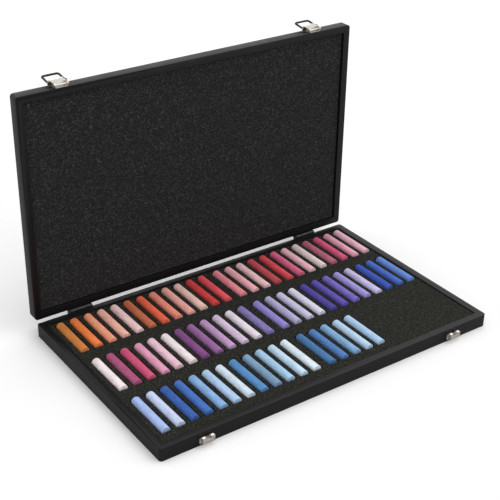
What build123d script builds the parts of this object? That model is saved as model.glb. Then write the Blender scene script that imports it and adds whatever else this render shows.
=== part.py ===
from build123d import *
import os
from math import cos, radians, sin

# Pastel case: a shallow hinged case with a slotted foam tray of soft pastel sticks.
#
# The origin is at the centre of the base's underside. +X runs along the hinge, +Y points
# to the hinge and +Z is up. The lid stands open at a right angle behind the base.
# Sizes are in millimetres.

# Pastel sticks
stick_diameter = 10.8
stick_length = 65.0
stick_rise = 2.3             # height of the sticks above the base's rim
families = (
    "orange", "vermilion", "red", "carmine", "rose", "magenta", "purple",
    "violet", "deep_violet", "ultramarine", "cobalt", "cerulean", "steel_blue",
)
tints = 5                    # sticks in one family, from deep to pale

# Slotted foam
columns = 24
rows = 3
slot_side_gap = 1.1          # foam to stick, each side
slot_end_gap = 1.5           # foam to stick, each end
ridge = 5.0                  # foam between two slots of a row
centre_ridge = 4.8           # extra foam in the middle of each row
row_bridge = 20.4            # foam between two rows
left_margin = 7.3
right_margin = 2.9
back_margin = 4.0
front_margin = 14.4
tray_recess = 1.0            # foam below the base's rim

# Case
base_height = 16.0
lid_height = 14.0
wall = 9.0
corner_radius = 3.5
edge_bevel = 0.8
panel_thickness = 3.0
rabbet = 4.5                 # how far the panels reach under the walls
pad_gap = 0.3                # lid pad to the lid's walls
pad_clearance = 0.5          # lid pad to the sticks when the lid is shut

# Hinges
hinge_inset = 59.5           # end of the case to the middle of a hinge
hinge_offset = 2.8           # pin axis behind the back walls
hinge_clearance = 0.3
leaf_thickness = 1.1
leaf_width = 31.0
leaf_reach = 11.0            # pin axis to the far edge of a leaf
end_knuckle = 8.0
knuckle_gap = 0.3            # between two knuckles, along the pin
pin_clearance = 0.05
stop_gap = 0.1               # lid leaf to the stop ears when the lid stands open
stop_reach = 6.5             # pin axis to the tip of a stop ear
leaf_screw_spacing = 17.0

# Draw latches on the lid and hook plates on the base
latch_inset = 55.5           # end of the case to the middle of a latch
sheet = 0.8
latch_standoff = 3.0         # axes of the lever, the rivets and the latched bail
plate_inset = 0.6            # rim of the lid to the edge of the latch plate
plate_height = 12.5
ear_radius = 1.9
axle_radius = 0.9
lever_width = 17.4
lever_arm = 9.1              # axle to rivet
flange_radius = 2.4
side_gap = 0.3               # plate to lever, lever to bail
lip_radius = 2.2
lip_angle = 55.0
rivet_radius = 1.0
rivet_head_radius = 1.3
rivet_head = 0.5
rivet_gap = 0.1
wire_diameter = 2.6
bend_radius = 3.0
eye_radius = 2.2
eye_width = 2.0              # the wire's ends are flattened round the rivets
bail_tilt = 8.0              # rise of the bail as it lies back over the lid, in degrees
seat_drop = 6.2              # rim to the latched bail
seat_gap = 0.3               # latched bail to the claws
hook_bottom = 2.4
hook_corner = 1.5
hook_notch = 6.4             # between the two claws
claw_tip = 20.0              # how far the claws curl past level, in degrees
latch_screw_spacing = 7.6
latch_screw_height = 8.4     # rim of the lid to the latch screws
hook_screw_spacing = 10.0
hook_screw_height = 5.2      # underside of the base to the hook screws

# Countersunk screws
screw_radius = 1.2
screw_head_radius = 2.0
screw_cover = 2.0            # wood left over the tip of a screw

# Sizes that follow
slot_width = stick_diameter + 2 * slot_side_gap
slot_length = stick_length + 2 * slot_end_gap
inner_width = (left_margin + columns * slot_width + (columns - 1) * ridge
               + centre_ridge + right_margin)
inner_depth = front_margin + rows * slot_length + (rows - 1) * row_bridge + back_margin
box_width = inner_width + 2 * wall
box_depth = inner_depth + 2 * wall
backing_top = base_height + stick_rise - stick_diameter
stick_axis = backing_top + stick_diameter / 2
pad_recess = stick_rise + pad_clearance
hinge_x = box_width / 2 - hinge_inset
latch_x = box_width / 2 - latch_inset
knuckle_radius = hinge_offset - hinge_clearance
knuckle_bore = knuckle_radius - leaf_thickness
pin_radius = knuckle_bore - pin_clearance
knuckle_length = leaf_width - 2 * leaf_thickness - 2 * knuckle_gap
centre_knuckle = knuckle_length - 2 * end_knuckle - 2 * knuckle_gap
strip_face = hinge_offset - leaf_thickness
strip_start = (hinge_offset ** 2 - strip_face ** 2) ** 0.5
screw_length = wall - screw_cover
axle_height = plate_inset + ear_radius
rivet_height = axle_height + lever_arm
bail_length = rivet_height + seat_drop
plate_width = lever_width - 2 * sheet - 2 * side_gap
bail_leg = lever_width / 2 + side_gap + wire_diameter / 2

# Axis of the hinge pins, and height of the lid's free edge above the ground
hinge_y = box_depth / 2 + hinge_offset
hinge_z = base_height
lid_middle = hinge_z + hinge_y
lid_edge = lid_middle + box_depth / 2

# Outer faces of the case, each with its normal outwards and its y away from the ground
# (base) or from the rim (lid)
base_front = Plane(origin=(0, -box_depth / 2, 0), x_dir=(1, 0, 0), z_dir=(0, -1, 0))
base_back = Plane(origin=(0, box_depth / 2, 0), x_dir=(-1, 0, 0), z_dir=(0, 1, 0))
lid_front = Plane(origin=(0, hinge_y, lid_edge), x_dir=(1, 0, 0), z_dir=(0, 0, 1))
lid_back = Plane(origin=(0, hinge_y, hinge_z + hinge_offset), x_dir=(-1, 0, 0),
                 z_dir=(0, 0, -1))

# Outsides of the two shells, each with its normal towards the rim
base_outside = Plane.XY
lid_outside = Plane(origin=(0, hinge_y + lid_height, lid_middle), x_dir=(1, 0, 0),
                    z_dir=(0, -1, 0))

os.makedirs("parts", exist_ok=True)


def stick_place(number):
    """Middle of a slot; the slots are filled from the back left to the front right."""
    row, column = divmod(number, columns)
    x = -inner_width / 2 + left_margin + slot_width / 2 + column * (slot_width + ridge)
    if column >= columns / 2:
        x += centre_ridge
    y = inner_depth / 2 - back_margin - slot_length / 2 - row * (slot_length + row_bridge)
    return x, y


def screws(face, points, mode=Mode.ADD):
    """Countersunk screws with their heads flush in a face, or the holes they fill."""
    with Locations(face):
        with Locations(*points):
            Cylinder(screw_radius, screw_length,
                     align=(Align.CENTER, Align.CENTER, Align.MAX), mode=mode)
            Cone(screw_radius, screw_head_radius, screw_head_radius - screw_radius,
                 align=(Align.CENTER, Align.CENTER, Align.MAX), mode=mode)


def screw_pairs(middles, spacing, height):
    """Two screws side by side at each middle."""
    return [(x + side * spacing / 2, height) for x in middles for side in (-1, 1)]


# Screw places on the four faces that carry hardware
leaf_screw_height = (strip_start + leaf_reach) / 2
hinge_middles = (-hinge_x, hinge_x)
latch_middles = (-latch_x, latch_x)
base_leaf_screws = screw_pairs(hinge_middles, leaf_screw_spacing, hinge_z - leaf_screw_height)
lid_leaf_screws = screw_pairs(hinge_middles, leaf_screw_spacing, leaf_screw_height)
latch_plate_screws = screw_pairs(latch_middles, latch_screw_spacing, latch_screw_height)
hook_plate_screws = screw_pairs(latch_middles, hook_screw_spacing, hook_screw_height)
base_leaf_face = base_back.offset(leaf_thickness)
lid_leaf_face = lid_back.offset(leaf_thickness)
latch_plate_face = lid_front.offset(sheet)
hook_plate_face = base_front.offset(sheet)


# Walls
def shell(outside, height):
    """The four walls of a shell in one ring, with the rabbet for its panel."""
    with BuildPart() as ring:
        with BuildSketch(outside):
            RectangleRounded(box_width, box_depth, corner_radius)
        extrude(amount=height)
        chamfer(ring.faces().filter_by(outside).edges(), length=edge_bevel)
        with BuildSketch(outside):
            Rectangle(inner_width, inner_depth)
        extrude(amount=height, mode=Mode.SUBTRACT)
        with BuildSketch(outside):
            Rectangle(inner_width + 2 * rabbet, inner_depth + 2 * rabbet)
        extrude(amount=panel_thickness, mode=Mode.SUBTRACT)
    return ring.part


def long_wall(ring, outside, end):
    """Front or back wall, parted from the ring at its mitres."""
    with BuildPart() as strip:
        add(ring)
        with BuildSketch(outside):
            Polygon(
                (-box_width / 2, end * box_depth / 2), (box_width / 2, end * box_depth / 2),
                (inner_width / 2, end * inner_depth / 2),
                (-inner_width / 2, end * inner_depth / 2), align=None,
            )
        extrude(amount=base_height + lid_height, both=True, mode=Mode.INTERSECT)
    return strip.part


def side_wall(ring, outside, end):
    """Left or right wall, parted from the ring at its mitres."""
    with BuildPart() as strip:
        add(ring)
        with BuildSketch(outside):
            Polygon(
                (end * box_width / 2, -box_depth / 2), (end * box_width / 2, box_depth / 2),
                (end * inner_width / 2, inner_depth / 2),
                (end * inner_width / 2, -inner_depth / 2), align=None,
            )
        extrude(amount=base_height + lid_height, both=True, mode=Mode.INTERSECT)
    return strip.part


base_ring = shell(base_outside, base_height)
lid_ring = shell(lid_outside, lid_height)

with BuildPart() as base_front_wall:
    add(long_wall(base_ring, base_outside, -1))
    screws(hook_plate_face, hook_plate_screws, Mode.SUBTRACT)
base_front_wall.part.label = "base_front_wall"
export_step(base_front_wall.part, "parts/base_front_wall.step")

with BuildPart() as base_back_wall:
    add(long_wall(base_ring, base_outside, 1))
    screws(base_leaf_face, base_leaf_screws, Mode.SUBTRACT)
base_back_wall.part.label = "base_back_wall"
export_step(base_back_wall.part, "parts/base_back_wall.step")

with BuildPart() as lid_front_wall:
    add(long_wall(lid_ring, lid_outside, 1))
    screws(latch_plate_face, latch_plate_screws, Mode.SUBTRACT)
lid_front_wall.part.label = "lid_front_wall"
export_step(lid_front_wall.part, "parts/lid_front_wall.step")

with BuildPart() as lid_back_wall:
    add(long_wall(lid_ring, lid_outside, -1))
    screws(lid_leaf_face, lid_leaf_screws, Mode.SUBTRACT)
lid_back_wall.part.label = "lid_back_wall"
export_step(lid_back_wall.part, "parts/lid_back_wall.step")

for side, end in (("left", -1), ("right", 1)):
    with BuildPart() as base_side_wall:
        add(side_wall(base_ring, base_outside, end))
    base_side_wall.part.label = f"base_{side}_wall"
    export_step(base_side_wall.part, f"parts/base_{side}_wall.step")

    with BuildPart() as lid_side_wall:
        add(side_wall(lid_ring, lid_outside, end))
    lid_side_wall.part.label = f"lid_{side}_wall"
    export_step(lid_side_wall.part, f"parts/lid_{side}_wall.step")

# Panels, let into the rabbets flush with the outside
with BuildPart() as base_panel:
    with BuildSketch(base_outside):
        Rectangle(inner_width + 2 * rabbet, inner_depth + 2 * rabbet)
    extrude(amount=panel_thickness)
base_panel.part.label = "base_panel"
export_step(base_panel.part, "parts/base_panel.step")

with BuildPart() as lid_panel:
    with BuildSketch(lid_outside):
        Rectangle(inner_width + 2 * rabbet, inner_depth + 2 * rabbet)
    extrude(amount=panel_thickness)
lid_panel.part.label = "lid_panel"
export_step(lid_panel.part, "parts/lid_panel.step")

# Foam: a plain sheet under the sticks, the slotted sheet round them and the pad in the lid
with BuildPart() as foam_backing:
    with BuildSketch(Plane.XY.offset(panel_thickness)):
        Rectangle(inner_width, inner_depth)
    extrude(amount=backing_top - panel_thickness)
foam_backing.part.label = "foam_backing"
export_step(foam_backing.part, "parts/foam_backing.step")

with BuildPart() as pastel_tray:
    with BuildSketch(Plane.XY.offset(backing_top)):
        Rectangle(inner_width, inner_depth)
        with Locations(*[stick_place(n) for n in range(len(families) * tints)]):
            Rectangle(slot_width, slot_length, mode=Mode.SUBTRACT)
    extrude(amount=base_height - tray_recess - backing_top)
pastel_tray.part.label = "pastel_tray"
export_step(pastel_tray.part, "parts/pastel_tray.step")

with BuildPart() as lid_pad:
    with BuildSketch(lid_outside.offset(panel_thickness)):
        Rectangle(inner_width - 2 * pad_gap, inner_depth - 2 * pad_gap)
    extrude(amount=lid_height - panel_thickness - pad_recess)
lid_pad.part.label = "lid_pad"
export_step(lid_pad.part, "parts/lid_pad.step")

# Pastel sticks, lying on the backing in their slots
for number, family in enumerate(families):
    first = number * tints
    with BuildPart() as pastels:
        with Locations(*[(*stick_place(n), stick_axis) for n in range(first, first + tints)]):
            Cylinder(stick_diameter / 2, stick_length, rotation=(90, 0, 0))
    pastels.part.label = f"pastels_{family}"
    export_step(pastels.part, f"parts/pastels_{family}.step")


# Hinges
def hinge_leaf(frame, knuckles, bore):
    """Stamped leaf with rolled knuckles. The frame's x runs from the pin along the leaf,
    its y towards the wall. Each knuckle is given by its start and length along the pin."""
    with BuildPart() as leaf:
        with BuildSketch(frame):
            with Locations((strip_start, strip_face)):
                Rectangle(leaf_reach - strip_start, leaf_thickness, align=Align.MIN)
        extrude(amount=leaf_width / 2, both=True)
        for start, length in knuckles:
            with BuildSketch(frame.offset(start)):
                Circle(knuckle_radius)
                Polygon((0, knuckle_bore), (strip_start, strip_face),
                        (strip_start, hinge_offset), (0, knuckle_radius), align=None)
                Circle(bore, mode=Mode.SUBTRACT)
            extrude(amount=length)
    return leaf.part


end_knuckles = ((-knuckle_length / 2, end_knuckle),
                (knuckle_length / 2 - end_knuckle, end_knuckle))
middle_knuckle = ((-centre_knuckle / 2, centre_knuckle),)
stop_top = hinge_offset - leaf_thickness - stop_gap

for side, x in (("left", -hinge_x), ("right", hinge_x)):
    pin_end = Plane(origin=(x, hinge_y, hinge_z), x_dir=(0, 1, 0), z_dir=(1, 0, 0))
    hanging = Plane(origin=(x, hinge_y, hinge_z), x_dir=(0, 0, -1), z_dir=(-1, 0, 0))

    # The lid's leaf comes to rest on the top edges of the base leaf's two stop ears
    with BuildPart() as base_leaf:
        add(hinge_leaf(hanging, end_knuckles, pin_radius))
        for edge in (-1, 1):
            with BuildSketch(pin_end.offset(edge * (leaf_width - leaf_thickness) / 2)):
                Polygon((-hinge_offset, -leaf_reach), (-strip_face, -leaf_reach),
                        (stop_reach, 0), (stop_reach, stop_top), (-stop_top, stop_top),
                        (-hinge_offset, -strip_start), align=None)
            extrude(amount=leaf_thickness / 2, both=True)
        screws(base_leaf_face, base_leaf_screws, Mode.SUBTRACT)
    base_leaf.part.label = f"{side}_hinge_base_leaf"
    export_step(base_leaf.part, f"parts/{side}_hinge_base_leaf.step")

    with BuildPart() as lid_leaf:
        add(hinge_leaf(pin_end, middle_knuckle, knuckle_bore))
        screws(lid_leaf_face, lid_leaf_screws, Mode.SUBTRACT)
    lid_leaf.part.label = f"{side}_hinge_lid_leaf"
    export_step(lid_leaf.part, f"parts/{side}_hinge_lid_leaf.step")

    with BuildPart() as hinge_pin:
        with BuildSketch(pin_end):
            Circle(pin_radius)
        extrude(amount=knuckle_length / 2, both=True)
    hinge_pin.part.label = f"{side}_hinge_pin"
    export_step(hinge_pin.part, f"parts/{side}_hinge_pin.step")

# Draw latches: a plate with two ears, a channel-shaped lever on an axle, and a wire bail
# whose eyes turn on rivets in the lever's flanges
flange_middle = (lever_width - sheet) / 2
ear_middle = (plate_width - sheet) / 2
web_middle = flange_radius - sheet / 2
web_start = ear_radius + side_gap + sheet
eye_outer = bail_leg + eye_width / 2
wire_start = (rivet_radius + eye_radius) / 2
rivet_inner = lever_width / 2 - sheet - rivet_gap

for side, x in (("left", -latch_x), ("right", latch_x)):
    wall_side = Plane(origin=(x, hinge_y, lid_edge), x_dir=(0, 1, 0), z_dir=(1, 0, 0))
    axle = Plane(origin=(x, hinge_y + axle_height, lid_edge + latch_standoff),
                 x_dir=(0, 1, 0), z_dir=(1, 0, 0))
    rivet = Plane(origin=(x, hinge_y + rivet_height, lid_edge + latch_standoff),
                  x_dir=(0, 1, 0), z_dir=(1, 0, 0))

    with BuildPart() as latch_plate:
        with BuildSketch(lid_front):
            with Locations((x, plate_inset)):
                Rectangle(plate_width, plate_height, align=(Align.CENTER, Align.MIN))
        extrude(amount=sheet)
        for ear in (-1, 1):
            with BuildSketch(axle.offset(ear * ear_middle)):
                Circle(ear_radius)
                Rectangle(2 * ear_radius, latch_standoff, align=(Align.CENTER, Align.MAX))
                Circle(axle_radius, mode=Mode.SUBTRACT)
            extrude(amount=sheet / 2, both=True)
        screws(latch_plate_face, latch_plate_screws, Mode.SUBTRACT)
    latch_plate.part.label = f"{side}_latch_plate"
    export_step(latch_plate.part, f"parts/{side}_latch_plate.step")

    with BuildPart() as latch_pin:
        with BuildSketch(axle):
            Circle(axle_radius)
        extrude(amount=lever_width / 2, both=True)
    latch_pin.part.label = f"{side}_latch_pin"
    export_step(latch_pin.part, f"parts/{side}_latch_pin.step")

    with BuildPart() as lever:
        for flange in (-1, 1):
            with BuildSketch(axle.offset(flange * flange_middle)):
                with Locations((lever_arm / 2, 0)):
                    SlotCenterToCenter(lever_arm, 2 * flange_radius)
                Circle(axle_radius + pin_clearance, mode=Mode.SUBTRACT)
                with Locations((lever_arm, 0)):
                    Circle(rivet_radius + pin_clearance, mode=Mode.SUBTRACT)
            extrude(amount=sheet / 2, both=True)
        with BuildSketch(axle):
            with BuildLine():
                web = Line((web_start, web_middle), (lever_arm + ear_radius, web_middle))
                JernArc(web @ 1, web % 1, lip_radius, lip_angle)
            trace(line_width=sheet)
        extrude(amount=lever_width / 2, both=True)
    lever.part.label = f"{side}_latch_lever"
    export_step(lever.part, f"parts/{side}_latch_lever.step")

    with BuildPart() as rivets:
        for flange in (-1, 1):
            for start, length, radius in (
                (rivet_inner - rivet_head, rivet_head, rivet_head_radius),
                (rivet_inner, eye_outer + rivet_gap - rivet_inner, rivet_radius),
                (eye_outer + rivet_gap, rivet_head, rivet_head_radius),
            ):
                with BuildSketch(rivet.offset(flange * start)):
                    Circle(radius)
                extrude(amount=flange * length)
    rivets.part.label = f"{side}_bail_rivets"
    export_step(rivets.part, f"parts/{side}_bail_rivets.step")

    bail_plane = Plane(
        origin=rivet.origin, x_dir=(1, 0, 0),
        z_dir=(0, -sin(radians(bail_tilt)), cos(radians(bail_tilt))),
    )
    with BuildPart() as bail:
        with BuildLine(bail_plane):
            wire = FilletPolyline(
                (-bail_leg, wire_start), (-bail_leg, bail_length),
                (bail_leg, bail_length), (bail_leg, wire_start), radius=bend_radius,
            )
        with BuildSketch(Plane(origin=wire @ 0, z_dir=wire % 0)):
            Circle(wire_diameter / 2)
        sweep()
        for flange in (-1, 1):
            with BuildSketch(rivet.offset(flange * bail_leg)):
                Circle(eye_radius)
                Circle(rivet_radius + pin_clearance, mode=Mode.SUBTRACT)
            extrude(amount=eye_width / 2, both=True)
    bail.part.label = f"{side}_bail"
    export_step(bail.part, f"parts/{side}_bail.step")

# Hook plates on the base: two claws curl over the place of the latched bail
claw_radius = latch_standoff - sheet / 2
claw_axis = (base_height - seat_drop
             - (latch_standoff - sheet - wire_diameter / 2 - seat_gap))
claw_end = bail_leg - bend_radius

for side, x in (("left", -latch_x), ("right", latch_x)):
    with BuildPart() as hook_plate:
        with BuildSketch(base_front) as blank:
            with Locations((x, hook_bottom)):
                Rectangle(lever_width, claw_axis - hook_bottom,
                          align=(Align.CENTER, Align.MIN))
            fillet(blank.vertices().group_by(Axis.Y)[0], radius=hook_corner)
        extrude(amount=sheet)
        for claw in (-1, 1):
            middle = x + claw * (hook_notch / 2 + claw_end) / 2
            with BuildSketch(Plane(origin=(middle, -box_depth / 2, 0),
                                   x_dir=(0, -1, 0), z_dir=(-1, 0, 0))):
                with BuildLine():
                    CenterArc((latch_standoff, claw_axis), claw_radius, -claw_tip,
                              180 + claw_tip)
                trace(line_width=sheet)
            extrude(amount=(claw_end - hook_notch / 2) / 2, both=True)
        screws(hook_plate_face, hook_plate_screws, Mode.SUBTRACT)
    hook_plate.part.label = f"{side}_hook_plate"
    export_step(hook_plate.part, f"parts/{side}_hook_plate.step")

# Screws
with BuildPart() as hinge_base_screws:
    screws(base_leaf_face, base_leaf_screws)
hinge_base_screws.part.label = "hinge_base_screws"
export_step(hinge_base_screws.part, "parts/hinge_base_screws.step")

with BuildPart() as hinge_lid_screws:
    screws(lid_leaf_face, lid_leaf_screws)
hinge_lid_screws.part.label = "hinge_lid_screws"
export_step(hinge_lid_screws.part, "parts/hinge_lid_screws.step")

with BuildPart() as latch_screws:
    screws(latch_plate_face, latch_plate_screws)
latch_screws.part.label = "latch_screws"
export_step(latch_screws.part, "parts/latch_screws.step")

with BuildPart() as hook_screws:
    screws(hook_plate_face, hook_plate_screws)
hook_screws.part.label = "hook_screws"
export_step(hook_screws.part, "parts/hook_screws.step")
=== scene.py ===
import random
from math import cos, pi, radians, sin

import bmesh
import bpy
from mathutils import Matrix, Vector, noise


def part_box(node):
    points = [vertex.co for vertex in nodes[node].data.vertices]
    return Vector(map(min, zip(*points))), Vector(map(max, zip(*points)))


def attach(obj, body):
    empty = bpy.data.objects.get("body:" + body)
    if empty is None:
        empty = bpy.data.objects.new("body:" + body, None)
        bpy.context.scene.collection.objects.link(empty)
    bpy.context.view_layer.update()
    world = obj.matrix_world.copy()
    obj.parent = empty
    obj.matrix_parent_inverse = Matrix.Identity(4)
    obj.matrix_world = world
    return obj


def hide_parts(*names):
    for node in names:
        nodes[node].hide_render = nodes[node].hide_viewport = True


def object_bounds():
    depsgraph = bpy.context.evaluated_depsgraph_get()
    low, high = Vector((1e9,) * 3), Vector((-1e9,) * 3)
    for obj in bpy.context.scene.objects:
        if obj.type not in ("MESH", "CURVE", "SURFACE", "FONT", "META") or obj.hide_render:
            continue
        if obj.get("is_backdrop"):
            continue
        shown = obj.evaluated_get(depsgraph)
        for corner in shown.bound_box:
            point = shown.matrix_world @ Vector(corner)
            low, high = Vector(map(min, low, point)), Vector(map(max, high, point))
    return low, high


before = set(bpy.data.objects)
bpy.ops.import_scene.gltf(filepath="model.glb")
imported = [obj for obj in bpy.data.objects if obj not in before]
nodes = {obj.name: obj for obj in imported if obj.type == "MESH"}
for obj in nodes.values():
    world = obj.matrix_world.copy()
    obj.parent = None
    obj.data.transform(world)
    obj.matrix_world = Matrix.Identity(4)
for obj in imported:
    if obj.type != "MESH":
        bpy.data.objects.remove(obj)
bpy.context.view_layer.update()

# Base case: the base's four walls. They are fibreboard strips, mitred and glued to a ring and
# then wrapped in black leather-grain paper, which runs over the mitres and the rim without a
# seam. Here the four CAD walls are joined to one ring with the edges of folded paper.
skin_fold = 0.00035          # radius of the folded paper
board_corner = 0.0035        # radius of the ring's upright corners
board_chamfer = 0.0008       # flat that the skin fills out to a tight fold
long_edge = 0.004            # shorter edges belong to the screw holes
corner_zone = 0.006          # the corner's own short edges lie this near the corner
merge_gap = 1e-6             # vertices nearer than this are one
flat_angle = radians(0.3)    # faces that meet flatter than this are one flat
fold_angle = radians(30)     # skin edges sharper than this are folds
slanted = 0.01               # part of a normal from which a face counts as slanted
sides = ("front", "back", "left", "right")


def linear(colour):
    """An sRGB hex colour as linear RGBA."""
    values = [int(colour[i:i + 2], 16) / 255 for i in (1, 3, 5)]
    return (*(v / 12.92 if v <= 0.04045 else ((v + 0.055) / 1.055) ** 2.4 for v in values), 1)


def add_node(tree, kind, inputs=None, **settings):
    """A new shader node: settings are its own, inputs are values or links for its sockets."""
    node = tree.nodes.new(kind)
    for name, value in settings.items():
        setattr(node, name, value)
    for name, value in (inputs or {}).items():
        if isinstance(value, bpy.types.NodeSocket):
            tree.links.new(value, node.inputs[name])
        else:
            node.inputs[name].default_value = value
    return node


def start_material(name, **numbers):
    """A new material, its tree and its shader, with the shader's uniform numbers set."""
    material = bpy.data.materials.new(name)
    material.use_nodes = True
    shader = material.node_tree.nodes["Principled BSDF"]
    for socket, value in numbers.items():
        shader.inputs[socket.replace("_", " ")].default_value = value
    place = add_node(material.node_tree, "ShaderNodeTexCoord").outputs["Object"]
    return material, material.node_tree, shader, place


def ramp(tree, factor, *stops):
    """A colour ramp through (position, hex colour) stops."""
    node = add_node(tree, "ShaderNodeValToRGB", {"Fac": factor})
    elements = node.color_ramp.elements
    while len(elements) < len(stops):
        elements.new(0.5)
    for element, (position, colour) in zip(elements, stops):
        element.position = position
        element.color = linear(colour)
    return node.outputs["Color"]


def bump(tree, shader, height, depth):
    """Feeds a height pattern of this depth in metres to the shader's normal."""
    node = add_node(tree, "ShaderNodeBump", {"Height": height, "Distance": depth})
    tree.links.new(node.outputs["Normal"], shader.inputs["Normal"])


def finish_piece(mesh, name, body, material, replaced, crease=35):
    """Makes the bmesh an object that rides on its body and stands for CAD nodes; edges
    flatter than the crease, in degrees, are shaded smooth."""
    bmesh.ops.recalc_face_normals(mesh, faces=mesh.faces)
    for face in mesh.faces:
        face.smooth = True
    for edge in mesh.edges:
        if edge.is_manifold:
            edge.smooth = edge.calc_face_angle() < radians(crease)
    data = bpy.data.meshes.new(name)
    mesh.to_mesh(data)
    mesh.free()
    data.materials.append(material)
    piece = bpy.data.objects.new(name, data)
    bpy.context.scene.collection.objects.link(piece)
    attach(piece, body)
    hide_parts(*replaced)
    return piece


def wrapped_ring(names, up):
    """Four mitred walls as one closed ring, whose panel faces along the axis up."""
    mesh = bmesh.new()
    for name in names:
        mesh.from_mesh(nodes[name].data)
    bmesh.ops.remove_doubles(mesh, verts=mesh.verts, dist=merge_gap)
    low = Vector([min(v.co[i] for v in mesh.verts) for i in range(3)])
    high = Vector([max(v.co[i] for v in mesh.verts) for i in range(3)])
    flat = [i for i in range(3) if i != up]

    def on_mitre(face):
        place = face.calc_center_median() - (low + high) / 2
        along = sum(face.normal[i] * (1 if place[i] > 0 else -1) for i in flat)
        diagonal = abs(face.normal[flat[0]]) > 0.5
        return diagonal and abs(face.normal[up]) < slanted and abs(along) < slanted

    mitres = [face for face in mesh.faces if on_mitre(face)]
    bmesh.ops.delete(mesh, geom=mitres, context="FACES")
    bmesh.ops.remove_doubles(mesh, verts=mesh.verts, dist=merge_gap * 10)
    bmesh.ops.recalc_face_normals(mesh, faces=mesh.faces)
    bmesh.ops.dissolve_limit(mesh, angle_limit=flat_angle, verts=mesh.verts, edges=mesh.edges)

    # The chamfers along the ring's outer edges are filled out, as the skin folds over tightly.
    near = board_chamfer / 20
    half = [(high[i] - low[i]) / 2 - board_corner for i in flat]
    for vert in mesh.verts:
        place = [vert.co[i] - (low[i] + high[i]) / 2 for i in flat]
        beyond = Vector([max(abs(p) - h, 0) for p, h in zip(place, half)])
        if beyond.length < 2 * board_chamfer:
            continue
        inset = board_corner - beyond.length
        end = low[up] if vert.co[up] < (low[up] + high[up]) / 2 else high[up]
        depth = abs(vert.co[up] - end)
        if abs(inset + depth - board_chamfer) < near and min(inset, depth) < near:
            grown = beyond * (board_corner / beyond.length)
            for i, p, b, g in zip(flat, place, beyond, grown):
                vert.co[i] += (1 if p > 0 else -1) * (g - b)
            vert.co[up] = end
    bmesh.ops.remove_doubles(mesh, verts=mesh.verts, dist=merge_gap * 100)
    bmesh.ops.dissolve_degenerate(mesh, dist=merge_gap, edges=mesh.edges)
    bmesh.ops.dissolve_limit(mesh, angle_limit=flat_angle, verts=mesh.verts, edges=mesh.edges)

    def near_corner(edge):
        return all(min(v.co[i] - low[i], high[i] - v.co[i]) < corner_zone
                   for v in edge.verts for i in flat)

    folds = [edge for edge in mesh.edges
             if edge.is_manifold and edge.calc_face_angle() > fold_angle
             and (edge.calc_length() > long_edge or near_corner(edge))]
    bmesh.ops.bevel(mesh, geom=folds, offset=skin_fold, offset_type="OFFSET", segments=3,
                    profile=0.5, affect="EDGES", clamp_overlap=True, material=-1)
    return mesh


def leather_grain_paper():
    """Black leather-grain paper: charcoal, with a fine pebble grain that breaks the sheen,
    and a little paler and shinier where hands have rubbed it."""
    material, tree, shader, place = start_material(
        "black_leather_grain_paper_embossed", IOR=1.5, Specular_IOR_Level=0.3)
    pebble = add_node(tree, "ShaderNodeTexVoronoi", {"Vector": place, "Scale": 1 / 0.0011},
                      feature="SMOOTH_F1").outputs["Distance"]
    rubbed = add_node(tree, "ShaderNodeTexNoise", {
        "Vector": place, "Scale": 1 / 0.035, "Detail": 4.0, "Roughness": 0.6}).outputs["Fac"]
    tree.links.new(ramp(tree, rubbed, (0.32, "#0a0a0b"), (0.6, "#0f0f10"), (0.78, "#17171a")),
                   shader.inputs["Base Color"])
    sheen = add_node(tree, "ShaderNodeMapRange", {
        "Value": rubbed, "From Min": 0.3, "From Max": 0.75, "To Min": 0.46, "To Max": 0.36})
    tree.links.new(sheen.outputs["Result"], shader.inputs["Roughness"])
    bump(tree, shader, pebble, 0.00006)
    return material


skin = leather_grain_paper()
base_walls = [f"base_{side}_wall" for side in sides]
finish_piece(wrapped_ring(base_walls, 2), "base_case", "base", skin, base_walls)

# Lid case: the lid's four walls, made and wrapped in the same way. It stands upright behind
# the base, so its panel faces along Y.
lid_walls = [f"lid_{side}_wall" for side in sides]
finish_piece(wrapped_ring(lid_walls, 1), "lid_case", "lid", skin, lid_walls)

# Panels: thin fibreboard sheets under the base and behind the lid, let into rabbets in the
# walls and covered with smooth black paper. The CAD sheets stay and get creased edges.
panel_crease = 0.0003
sharp_angle = radians(35)    # CAD edges sharper than this are rounded


def soften(name, width, segments=2):
    """Rounds a CAD node's sharp edges with modifiers."""
    node = nodes[name]
    node.modifiers.new("joined", "WELD").merge_threshold = merge_gap
    whole = node.modifiers.new("flat_faces", "DECIMATE")
    whole.decimate_type = "DISSOLVE"
    whole.angle_limit = flat_angle
    edge = node.modifiers.new("edges", "BEVEL")
    edge.width = width
    edge.segments = segments
    edge.limit_method = "ANGLE"
    edge.angle_limit = sharp_angle


def dress(name, material):
    """Puts a material in a CAD node's slot."""
    nodes[name].data.materials.clear()
    nodes[name].data.materials.append(material)


def pasted_paper():
    """Smooth black paper on board: nearly even charcoal, with faint long fibres in it."""
    material, tree, shader, place = start_material(
        "black_paper_pasted_on_board", Roughness=0.6, IOR=1.5, Specular_IOR_Level=0.3)
    stretched = add_node(tree, "ShaderNodeMapping", {"Vector": place, "Scale": (0.25, 1.0, 1.0)})
    fibres = add_node(tree, "ShaderNodeTexNoise", {
        "Vector": stretched.outputs["Vector"], "Scale": 1 / 0.0015, "Detail": 5.0}).outputs["Fac"]
    tree.links.new(ramp(tree, fibres, (0.35, "#121213"), (0.7, "#1b1b1d")),
                   shader.inputs["Base Color"])
    bump(tree, shader, fibres, 0.00003)
    return material


paper = pasted_paper()
for name in ("base_panel", "lid_panel"):
    dress(name, paper)
    soften(name, panel_crease)

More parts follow.
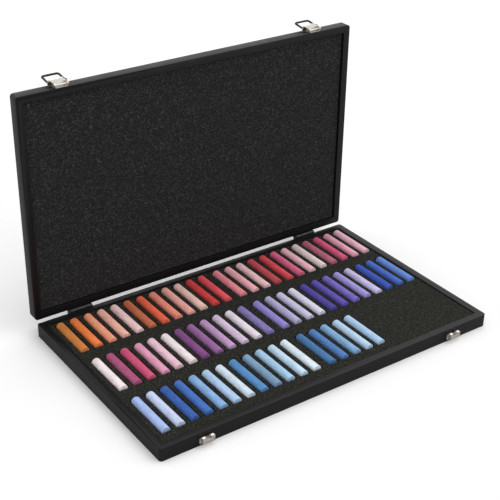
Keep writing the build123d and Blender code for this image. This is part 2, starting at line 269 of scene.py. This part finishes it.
# Foam backing: the plain sheet of charcoal foam that the sticks lie on, cut to the inside of
# the base and laid on its panel. It shows only as the floor of the slots, and its colour is
# painted darker than the tray's foam: painted shade on the slot floors.
backing_low, backing_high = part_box("foam_backing")
foam_cell = 0.009            # side of the mesh cells in a foam face
foam_edge = 0.0006           # rounding of a cut foam edge
foam_waves = 0.00025         # unevenness of a cut foam face
pad_wave_rate = 60           # waves of the sawn faces, per metre
corner_angle = radians(45)   # edges sharper than this are a cut piece's corners


def foam(name, deep, pale, speck, offset):
    """Open-cell foam cut from a block: charcoal pores, paler cell walls between them and a
    few light specks, quite without gloss."""
    material, tree, shader, place = start_material(
        name, Roughness=0.95, IOR=1.5, Specular_IOR_Level=0.1)
    moved = add_node(tree, "ShaderNodeMapping", {
        "Vector": place, "Location": (offset, 0.0, 0.0)}).outputs["Vector"]
    cells = add_node(tree, "ShaderNodeTexVoronoi", {
        "Vector": moved, "Scale": 1 / 0.0012}).outputs["Distance"]
    mottle = add_node(tree, "ShaderNodeTexNoise", {
        "Vector": moved, "Scale": 1 / 0.0025, "Detail": 3.0, "Roughness": 0.7}).outputs["Fac"]
    pores = add_node(tree, "ShaderNodeMath", {0: cells, 1: mottle},
                     operation="MULTIPLY").outputs["Value"]
    tree.links.new(ramp(tree, pores, (0.08, deep), (0.3, pale), (0.55, speck)),
                   shader.inputs["Base Color"])
    bump(tree, shader, pores, 0.0004)
    return material


def foam_sheet(low, high, thin, edge, waves):
    """A cut sheet of foam with soft edges and uneven faces; thin is its short axis."""
    size = high - low
    mesh = bmesh.new()
    bmesh.ops.create_cube(mesh, size=1, matrix=Matrix.Translation((low + high) / 2)
                          @ Matrix.Diagonal((*size, 1)))
    for axis in (i for i in range(3) if i != thin):
        cuts = round(size[axis] / foam_cell)
        for n in range(1, cuts):
            point, normal = Vector(low), Vector((0, 0, 0))
            point[axis] += size[axis] * n / cuts
            normal[axis] = 1
            bmesh.ops.bisect_plane(mesh, geom=[*mesh.verts, *mesh.edges, *mesh.faces],
                                   plane_co=point, plane_no=normal)
    rims = [e for e in mesh.edges if e.calc_face_angle() > corner_angle]
    bmesh.ops.bevel(mesh, geom=rims, offset=edge, segments=3, profile=0.5,
                    affect="EDGES", material=-1)
    for vert in mesh.verts:
        inside = min(min(vert.co[i] - low[i], high[i] - vert.co[i]) for i in range(3) if i != thin)
        if inside > edge:
            towards_middle = 1 if vert.co[thin] < (low + high)[thin] / 2 else -1
            height = 0.5 + 0.5 * noise.noise(vert.co * pad_wave_rate)
            vert.co[thin] += towards_middle * waves * height
    return mesh


# Painted shade: these tones are darker than the tray's foam, for the shaded floors of the slots.
backing_foam_painted_shade = foam("charcoal_foam_sawn_painted_shade", "#0b0b0b", "#1a1a18", "#2c2b28", 0.3)
backing = finish_piece(foam_sheet(backing_low, backing_high, 2, foam_edge, 0.0),
                       "foam_backing_sheet", "base", backing_foam_painted_shade, ["foam_backing"])

# Pastel tray: the upper sheet of charcoal foam with a slot for each stick, cut out with a
# steel die, so the slots' lips are soft and drawn in. The front right stays uncut.
tray_low, tray_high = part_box("pastel_tray")
first_low, first_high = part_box("pastels_orange")
families = ("orange", "vermilion", "red", "carmine", "rose", "magenta", "purple", "violet",
            "deep_violet", "ultramarine", "cobalt", "cerulean", "steel_blue")
columns, rows, tints = 24, 3, 5          # sticks in a row, rows, sticks in a family
stick_radius = (first_high.z - first_low.z) / 2
stick_length = first_high.y - first_low.y
pitch = (first_high.x - first_low.x - 2 * stick_radius) / (tints - 1)
row_pitch = first_low.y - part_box("pastels_magenta")[0].y
centre_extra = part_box("pastels_carmine")[0].x - first_low.x - 3 * tints * pitch
slot_half = Vector((stick_radius + 0.0011, stick_length / 2 + 0.0015))
slot_corner = 0.0014         # radius of the die's corners
slot_lip = 0.0009            # how far the foam is drawn into a slot
tray_wave_rate = 70          # waves of the tray's face, per metre


def stick_centre(number):
    """Middle of a stick, counted from the left along the rows, the back row first."""
    row, column = divmod(number, columns)
    return Vector((first_low.x + stick_radius + column * pitch
                   + (centre_extra if column >= columns // 2 else 0),
                   first_low.y + stick_length / 2 - row * row_pitch,
                   first_low.z + stick_radius))


def with_cuts(lines, longest):
    """The sorted lines, with more between them where they lie further apart than longest."""
    full = []
    for a, b in zip(lines, lines[1:]):
        steps = max(1, round((b - a) / longest))
        full += [a + (b - a) * n / steps for n in range(steps)]
    return [*full, lines[-1]]


def slotted_sheet():
    """The die-cut sheet: a grid through all slot edges, without the slots' cells, made solid."""
    first_row = [stick_centre(n).x for n in range(columns)]
    row_middles = [stick_centre(n * columns).y for n in reversed(range(rows))]
    slot_sides = [x + d for x in first_row for d in (-slot_half.x, slot_half.x)]
    slot_ends = [y + d for y in row_middles for d in (-slot_half.y, slot_half.y)]
    across = [tray_low.x, *slot_sides, tray_high.x]
    along = [tray_low.y, *slot_ends, tray_high.y]
    along = with_cuts(along, foam_cell)
    mesh = bmesh.new()
    bmesh.ops.create_grid(mesh, x_segments=len(across) - 1, y_segments=len(along) - 1, size=0.5)
    for vert in mesh.verts:
        vert.co = (across[round((vert.co.x + 0.5) * (len(across) - 1))],
                   along[round((vert.co.y + 0.5) * (len(along) - 1))], tray_high.z)
    middles = [stick_centre(n) for n in range(len(families) * tints)]
    slots = [face for face in mesh.faces
             if any(abs(face.calc_center_median().x - c.x) < slot_half.x
                    and abs(face.calc_center_median().y - c.y) < slot_half.y for c in middles)]
    bmesh.ops.delete(mesh, geom=slots, context="FACES")
    pulled = bmesh.ops.extrude_face_region(mesh, geom=[*mesh.faces])["geom"]
    bmesh.ops.translate(mesh, verts=[v for v in pulled if isinstance(v, bmesh.types.BMVert)],
                        vec=(0, 0, tray_low.z - tray_high.z))
    bmesh.ops.recalc_face_normals(mesh, faces=mesh.faces)
    corners = [e for e in mesh.edges if e.is_manifold and e.calc_face_angle() > corner_angle
               and abs(e.verts[0].co.z - e.verts[1].co.z) > slot_lip
               and tray_low.x + slot_lip < e.verts[0].co.x < tray_high.x - slot_lip]
    bmesh.ops.bevel(mesh, geom=corners, offset=slot_corner, segments=3, profile=0.5,
                    affect="EDGES", material=-1)
    lips = [e for e in mesh.edges if e.is_manifold and e.calc_face_angle() > corner_angle
            and all(v.co.z > tray_high.z - merge_gap for v in e.verts)]
    bmesh.ops.bevel(mesh, geom=lips, offset=slot_lip, segments=3, profile=0.5,
                    affect="EDGES", material=-1)
    for vert in mesh.verts:
        if vert.co.z > tray_low.z + slot_lip:
            vert.co.z -= foam_waves * (1 + noise.noise(vert.co * tray_wave_rate))
    return mesh


tray_foam = foam("charcoal_foam_sheet_die_cut", "#121210", "#2a2a26", "#4c4c45", 0.0)
tray = finish_piece(slotted_sheet(), "pastel_tray_sheet", "base", tray_foam,
                    ["pastel_tray"])

# Pastel sticks: soft pastels, pigment and chalk bound with a little gum, extruded as round
# rods and cut to length. Each lies loose in its slot. The five tints of a family run from the
# pure pigment to the one with most chalk, and the ends are a little crumbled.
stick_sides = 20
front_chip = 0.0003          # the end at the front is cut, with a small chip off its edge
back_round = 0.0016          # the other end is rubbed round
stick_play = 0.0003          # how far a stick may lie out of its slot's middle
stick_skew = 0.25            # how far it may lie askew, in degrees
chalk_crease = 120           # the whole stick is shaded smooth, its ends too
palette = {
    "orange": ("#cc7a34", "#f07e38", "#f09f7c", "#f2b6a6", "#f0cccc"),
    "vermilion": ("#c4663f", "#e8603e", "#ea8c78", "#efaba2", "#efc6ba"),
    "red": ("#cc3336", "#e04a55", "#e98894", "#efb0b8", "#eec4c8"),
    "carmine": ("#c0454f", "#da4150", "#d86288", "#efbcc6", "#e9d5d6"),
    "rose": ("#b9627f", "#d4527a", "#e8a5ba", "#eab8c7", "#f3e6ea"),
    "magenta": ("#a84c76", "#cc4c76", "#df9ab8", "#ecc4d4", "#f1e4e6"),
    "purple": ("#7c4280", "#95609c", "#be96c4", "#d9c4de", "#eae0ec"),
    "violet": ("#8377b2", "#9486d2", "#b1add5", "#c9c6e2", "#dcd9ec"),
    "deep_violet": ("#463d98", "#5a4baf", "#7668c2", "#a398dc", "#cac2eb"),
    "ultramarine": ("#2f50b6", "#3f64c0", "#6088d2", "#a2b9e8", "#c5d1f0"),
    "cobalt": ("#2c5aa8", "#3a6cba", "#84aede", "#adcbe9", "#d2e2f0"),
    "cerulean": ("#4f8ac2", "#7a9cbc", "#a2c8e5", "#c2dcef", "#deecf3"),
    "steel_blue": ("#3f73a8", "#4a7cba", "#80add6", "#b8d5ee", "#aed0ee"),
}


def mixed_colour(tree, factor, first, second):
    """A mix of two colours, each a value or a link."""
    node = add_node(tree, "ShaderNodeMix", {"Factor": factor, "A": first, "B": second},
                    data_type="RGBA")
    return next(socket for socket in node.outputs if socket.type == "RGBA")


def chalk(family, colours):
    """Soft pastel: dry and quite matt, its pigment unevenly mixed with the chalk, with a pale
    dust on it and a surface of fine pores."""
    material, tree, shader, place = start_material(
        f"soft_pastel_{family}_extruded", Roughness=0.95, IOR=1.5, Specular_IOR_Level=0.2)
    tint = add_node(tree, "ShaderNodeAttribute", attribute_name="tint").outputs["Fac"]
    streak = add_node(tree, "ShaderNodeMapping", {"Vector": place, "Scale": (1.0, 0.35, 1.0)})
    mixed = add_node(tree, "ShaderNodeTexNoise", {
        "Vector": streak.outputs["Vector"], "Scale": 1 / 0.004, "Detail": 4.0,
        "Roughness": 0.65}).outputs["Fac"]
    grain = add_node(tree, "ShaderNodeTexNoise", {
        "Vector": place, "Scale": 1 / 0.0006, "Detail": 3.0}).outputs["Fac"]
    pure = ramp(tree, tint, *((n / (tints - 1), colour) for n, colour in enumerate(colours)))
    uneven = add_node(tree, "ShaderNodeMapRange", {
        "Value": mixed, "From Min": 0.3, "From Max": 0.7, "To Min": 0.86, "To Max": 1.2})
    toned = add_node(tree, "ShaderNodeHueSaturation", {
        "Color": pure, "Value": uneven.outputs["Result"]}).outputs["Color"]
    dust = add_node(tree, "ShaderNodeMapRange", {
        "Value": grain, "From Min": 0.5, "From Max": 0.75, "To Min": 0.0, "To Max": 0.22})
    dusted = mixed_colour(tree, dust.outputs["Result"], toned, linear("#f4f0ec"))
    tree.links.new(dusted, shader.inputs["Base Color"])
    bump(tree, shader, grain, 0.0001)
    return material


def add_stick(sticks, tint_layer, centre, tint):
    """One stick with its two ends, lying a little askew, with its tint on its faces."""
    centre += Vector((random.uniform(-1, 1), random.uniform(-1, 1), 0)) * stick_play
    turned = Matrix.Rotation(radians(random.uniform(-stick_skew, stick_skew)), 4, "Z")
    length = stick_length - random.uniform(0, 2) * stick_play
    old_faces = set(sticks.faces)
    made = bmesh.ops.create_cone(
        sticks, cap_ends=True, segments=stick_sides, radius1=stick_radius, radius2=stick_radius,
        depth=length,
        matrix=Matrix.Translation(centre) @ turned @ Matrix.Rotation(pi / 2, 4, "X"))
    new_edges = {e for v in made["verts"] for e in v.link_edges}
    for at_front, width in ((True, front_chip), (False, back_round)):
        end = [e for e in new_edges if e.is_valid and e.calc_face_angle() > corner_angle
               and (e.verts[0].co.y < centre.y) == at_front]
        bmesh.ops.bevel(sticks, geom=end, offset=width, segments=3, profile=0.5,
                        affect="EDGES", material=-1)
    for face in set(sticks.faces) - old_faces:
        face[tint_layer] = tint


random.seed(4)
for family_number, family in enumerate(families):
    sticks = bmesh.new()
    tint_layer = sticks.faces.layers.float.new("tint")
    for n in range(tints):
        add_stick(sticks, tint_layer, stick_centre(family_number * tints + n), n / (tints - 1))
    finish_piece(sticks, f"pastel_sticks_{family}", "base",
                 chalk(family, palette[family]), [f"pastels_{family}"], crease=chalk_crease)

# Lid pad: the sheet of speckled charcoal foam glued inside the lid, which holds the sticks
# down when the case is shut. It is cut a little small, with a dark gap along the walls.
pad_low, pad_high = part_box("lid_pad")
pad_edge = 0.0012            # the pad's softer edge
pad_waves = 0.0005           # and its more uneven faces
pad_foam = foam("charcoal_foam_pad_speckled", "#191919", "#2d2d2d", "#4e4e4d", 0.7)
pad = finish_piece(foam_sheet(pad_low, pad_high, 1, pad_edge, pad_waves),
                   "lid_pad_sheet", "lid", pad_foam, ["lid_pad"])

# Hinges: two stop hinges of stamped sheet steel with rolled knuckles round a steel pin,
# lacquered black and screwed to the outside of the back walls. The CAD pieces stay.
hinge_edge = 0.00012         # rounding of a stamped edge


def lacquered_steel():
    """Black-lacquered steel: near black with a satin sheen that is uneven where it ran."""
    material, tree, shader, place = start_material("sheet_steel_black_lacquered", IOR=1.5)
    ran = add_node(tree, "ShaderNodeTexNoise", {
        "Vector": place, "Scale": 1 / 0.002, "Detail": 3.0}).outputs["Fac"]
    tree.links.new(ramp(tree, ran, (0.3, "#141415"), (0.7, "#222224")),
                   shader.inputs["Base Color"])
    sheen = add_node(tree, "ShaderNodeMapRange", {"Value": ran, "To Min": 0.3, "To Max": 0.5})
    tree.links.new(sheen.outputs["Result"], shader.inputs["Roughness"])
    bump(tree, shader, ran, 0.00002)
    return material


lacquer = lacquered_steel()
for side in ("left", "right"):
    for part in ("hinge_base_leaf", "hinge_lid_leaf", "hinge_pin"):
        dress(f"{side}_{part}", lacquer)
        soften(f"{side}_{part}", hinge_edge)

# Draw latches: stamped sheet steel, nickel plated and bright. Each has a plate, a lever that
# turns on a pin through its ears, and two rivets for the bail. The CAD pieces stay.
latch_edge = 0.00012         # rounding of a stamped edge


def nickel(name, bright, dull, smoothest, roughest, grain):
    """Nickel plate: a warm silver metal, with faint drawing and handling marks that spread
    its highlights. grain is the marks' size in metres."""
    material, tree, shader, place = start_material(name, Metallic=1.0)
    drawn = add_node(tree, "ShaderNodeMapping", {"Vector": place, "Scale": (0.15, 1.0, 1.0)})
    marks = add_node(tree, "ShaderNodeTexNoise", {
        "Vector": drawn.outputs["Vector"], "Scale": 1 / grain, "Detail": 4.0,
        "Roughness": 0.6}).outputs["Fac"]
    tree.links.new(ramp(tree, marks, (0.3, dull), (0.7, bright)), shader.inputs["Base Color"])
    gloss = add_node(tree, "ShaderNodeMapRange", {
        "Value": marks, "To Min": smoothest, "To Max": roughest})
    tree.links.new(gloss.outputs["Result"], shader.inputs["Roughness"])
    bump(tree, shader, marks, 0.00001)
    return material


bright_nickel = nickel("sheet_steel_nickel_plated", "#e4ded6", "#c6c0b8", 0.26, 0.42, 0.0008)
for side in ("left", "right"):
    for part in ("latch_plate", "latch_lever", "latch_pin", "bail_rivets"):
        dress(f"{side}_{part}", bright_nickel)
        soften(f"{side}_{part}", latch_edge)

# Hook plates: of the same nickel-plated sheet, screwed to the base's front. Two prongs arch
# over the throat for the bail, and a flat lip with a notch joins them and hides the screws.
sheet = 0.0008               # thickness of the metal
lip_half_width = 0.0076
lip_notch = 0.0064           # between the prongs
lip_bottom = 0.0024          # these three are heights above the plate's lower edge
notch_bottom = 0.0068
prong_top = 0.0096


def notched_lip(low, high):
    """The lip in front of a hook plate with this box: a strip whose two ends stand higher."""
    lip = bmesh.new()
    middle = (low.x + high.x) / 2
    bmesh.ops.create_cube(lip, size=1.0, matrix=Matrix.Translation(
        (middle, low.y + sheet / 2, low.z + (lip_bottom + notch_bottom) / 2))
        @ Matrix.Diagonal((2 * lip_half_width, sheet, notch_bottom - lip_bottom, 1)))
    for place in (middle - lip_notch / 2, middle + lip_notch / 2):
        bmesh.ops.bisect_plane(lip, geom=[*lip.verts, *lip.edges, *lip.faces],
                               plane_co=(place, 0, 0), plane_no=(1, 0, 0))
    tops = [face for face in lip.faces if face.normal.z > 0.5
            and abs(face.calc_center_median().x - middle) > lip_notch / 2]
    raised = bmesh.ops.extrude_discrete_faces(lip, faces=tops)["faces"]
    bmesh.ops.translate(lip, verts=list({v for face in raised for v in face.verts}),
                        vec=(0, 0, prong_top - notch_bottom))
    data = bpy.data.meshes.new("lip")
    lip.to_mesh(data)
    lip.free()
    return data


for side in ("left", "right"):
    low, high = (Vector(corner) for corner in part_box(f"{side}_hook_plate"))
    mesh = bmesh.new()
    mesh.from_mesh(nodes[f"{side}_hook_plate"].data)
    bmesh.ops.remove_doubles(mesh, verts=mesh.verts, dist=merge_gap)
    bmesh.ops.dissolve_limit(mesh, angle_limit=flat_angle, verts=mesh.verts, edges=mesh.edges)
    lip = notched_lip(low, high)
    mesh.from_mesh(lip)
    bpy.data.meshes.remove(lip)
    stamped = [edge for edge in mesh.edges
               if edge.is_manifold and edge.calc_face_angle() > sharp_angle]
    bmesh.ops.bevel(mesh, geom=stamped, offset=latch_edge, offset_type="OFFSET", segments=2,
                    profile=0.5, affect="EDGES", clamp_overlap=True, material=-1)
    finish_piece(mesh, f"{side}_hook_plate_with_lip", "base", bright_nickel,
                 [f"{side}_hook_plate"])

# Bails: spring-steel wire, bent to a loop with flattened eyes and nickel plated. Its colour is
# painted dark, a painted reflection of dark surroundings. Each turns on the two rivets of its
# lever. The CAD loops stay.
# Painted reflection: the wire's nickel gets dark tones that stand for the dark room it mirrors.
wire_nickel_painted_dark = nickel("steel_wire_nickel_painted_dark_reflection", "#45413e", "#2e2b29", 0.1, 0.2, 0.0005)
for side in ("left", "right"):
    dress(f"{side}_bail", wire_nickel_painted_dark)
    soften(f"{side}_bail", latch_edge, 1)

# Screws: small countersunk wood screws of zinc-plated steel, two to each leaf, latch plate
# and hook plate. Their heads lie flush, and the CAD screws stay.
zinc = nickel("steel_screw_zinc_plated", "#b4b4b2", "#94949a", 0.28, 0.42, 0.0006)
for name in ("hinge_base_screws", "hinge_lid_screws", "latch_screws", "hook_screws"):
    dress(name, zinc)
    soften(name, latch_edge, 1)

# Stage: a white floor that stays white to the camera but keeps the case's soft shadow, a
# plain white sky, and two broad lamps far off: one overhead, one in front at the right.
floor_half = 6.0
sky_fill = 0.8               # the sky as a light; seen or mirrored, it is pure white
mesh = bmesh.new()
bmesh.ops.create_grid(mesh, x_segments=1, y_segments=1, size=floor_half)
floor_data = bpy.data.meshes.new("floor")
mesh.to_mesh(floor_data)
mesh.free()
floor = bpy.data.objects.new("floor", floor_data)
bpy.context.scene.collection.objects.link(floor)
floor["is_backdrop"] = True
floor_paper, tree, shader, _ = start_material("white_paper_sweep", Roughness=1.0)
seen = add_node(tree, "ShaderNodeLightPath").outputs["Is Camera Ray"]
tree.links.new(mixed_colour(tree, seen, linear("#b4b4b4"), linear("#fbfbfb")),
               shader.inputs["Base Color"])
floor_data.materials.append(floor_paper)

world = bpy.data.worlds.new("white_studio")
world.use_nodes = True
sky = world.node_tree
path = add_node(sky, "ShaderNodeLightPath")
direct = add_node(sky, "ShaderNodeMath", {
    0: path.outputs["Is Camera Ray"], 1: path.outputs["Is Glossy Ray"]}, operation="MAXIMUM")
clear = add_node(sky, "ShaderNodeMath", {
    0: direct.outputs["Value"], 1: path.outputs["Is Transmission Ray"]}, operation="MAXIMUM")
level = add_node(sky, "ShaderNodeMapRange", {
    "Value": clear.outputs["Value"], "To Min": sky_fill, "To Max": 1.0})
sky.nodes["Background"].inputs["Color"].default_value = (1, 1, 1, 1)
sky.links.new(level.outputs["Result"], sky.nodes["Background"].inputs["Strength"])
bpy.context.scene.world = world

lamps = (("overhead", (0.3, 0.0, 0.95), 50, 0.8), ("front_right", (0.6, -0.5, 0.6), 45, 0.35))
for name, comes_from, width, strength in lamps:
    lamp = bpy.data.lights.new(name, "SUN")
    lamp.angle = radians(width)
    lamp.energy = strength
    holder = bpy.data.objects.new(name, lamp)
    holder.rotation_euler = Vector(comes_from).to_track_quat("Z", "Y").to_euler()
    bpy.context.scene.collection.objects.link(holder)

# Camera: the photo's view, from the front left and above, as fitted to the case's edges and
# to the rows of sticks. Nothing is out of focus.
azimuth, elevation, roll = radians(35.506), radians(29.069), radians(0.927)
distance = 1.544481
looks_at = Vector((0.100346, 0.171882, 0.0))
focal_pixels, picture_pixels, sensor = 1139.304, 500, 36.0
forward = Vector((sin(azimuth) * cos(elevation), cos(azimuth) * cos(elevation), -sin(elevation)))
level_right = Vector((cos(azimuth), -sin(azimuth), 0))
level_up = level_right.cross(forward)
right = cos(roll) * level_right + sin(roll) * level_up
up = -sin(roll) * level_right + cos(roll) * level_up
camera_data = bpy.data.cameras.new("photo_view")
camera_data.sensor_width = sensor
camera_data.lens = sensor * focal_pixels / picture_pixels
camera_data.clip_start = 0.05
camera = bpy.data.objects.new("photo_view", camera_data)
camera.matrix_world = (Matrix.Translation(looks_at - forward * distance)
                       @ Matrix((right, up, -forward)).transposed().to_4x4())
bpy.context.scene.collection.objects.link(camera)
bpy.context.scene.camera = camera
bpy.context.scene.view_settings.view_transform = "Standard"

# Size: the box of the finished scene.
low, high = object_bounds()
